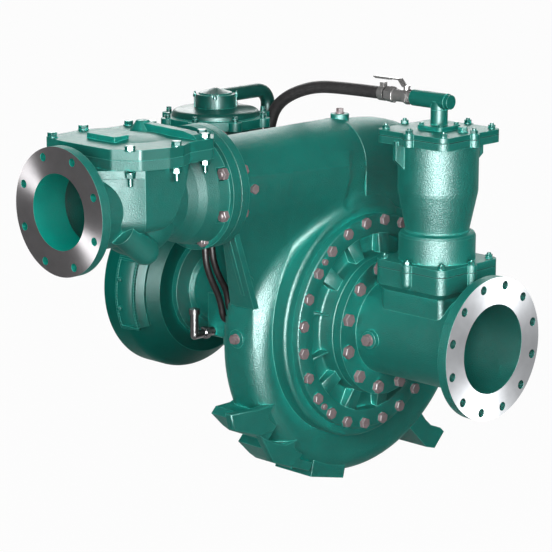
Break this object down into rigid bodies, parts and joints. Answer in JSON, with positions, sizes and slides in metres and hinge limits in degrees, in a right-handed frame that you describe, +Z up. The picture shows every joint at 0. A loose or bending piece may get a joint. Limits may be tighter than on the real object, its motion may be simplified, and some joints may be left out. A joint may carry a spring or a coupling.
{
  "type": "vacuum-assisted centrifugal pump",
  "caption": "Cast volute pump with flanged suction spool, priming chamber, swing check valve on the discharge, vacuum pump and an engine-mount drive flange.",
  "frame": {"origin": "centre of the drive flange's bolt circle, on the flange's face and on the shaft axis", "axes": "+X along the shaft from the drive flange to the suction flange, -Y along the discharge, +Z up"},
  "size_m": [1.311, 1.605, 1.211],
  "materials": {
    "bare_steel": "plain stainless steel",
    "black_fitting": "gloss black",
    "black_rubber": "matt black",
    "green_paint": "semi-gloss green paint over cast iron"
  },
  "bodies": {
    "pump": {"ball_valve_body": "bare_steel", "bearing_housing": "green_paint", "bell_housing": "green_paint", "chamber_base_gasket": "black_rubber", "chamber_cover": "green_paint", "chamber_cover_gasket": "black_rubber", "chamber_cover_plug": "green_paint", "check_clapper": "green_paint", "check_valve_body": "green_paint", "check_valve_cover": "green_paint", "discharge_gasket": "black_rubber", "drive_shaft": "bare_steel", "exhaust_elbow": "black_fitting", "float_chamber": "green_paint", "hose_clamp": "bare_steel", "hose_tail": "bare_steel", "impeller": "green_paint", "nipple": "bare_steel", "nozzle_plug": "bare_steel", "oil_elbow": "black_fitting", "oil_feed_hose": "black_rubber", "oil_filler_cap": "black_fitting", "oil_return_hose": "black_rubber", "spool_plug": "bare_steel", "suction_cover": "green_paint", "suction_spool": "green_paint", "tee_plug": "bare_steel", "vacuum_hose": "black_rubber", "vacuum_pedestal": "green_paint", "vacuum_pump_body": "green_paint", "vacuum_pump_cap": "black_fitting", "vacuum_pump_dome": "green_paint", "vacuum_pump_drum": "green_paint", "vacuum_pump_head": "green_paint", "vent_riser": "green_paint", "vent_tee": "green_paint", "volute_casing": "green_paint", "volute_side_plug": "bare_steel", "volute_top_plug": "bare_steel", "window_cover": "green_paint"},
    "lever": {"valve_lever": "bare_steel"}
  },
  "joints": [
    {"name": "valve_lever_turn", "type": "hinge", "parent": "pump", "child": "lever", "pos_m": [0.9815, 0, 0.699], "axis": [0, 0, 1], "range_deg": [0, 90]}
  ]
}
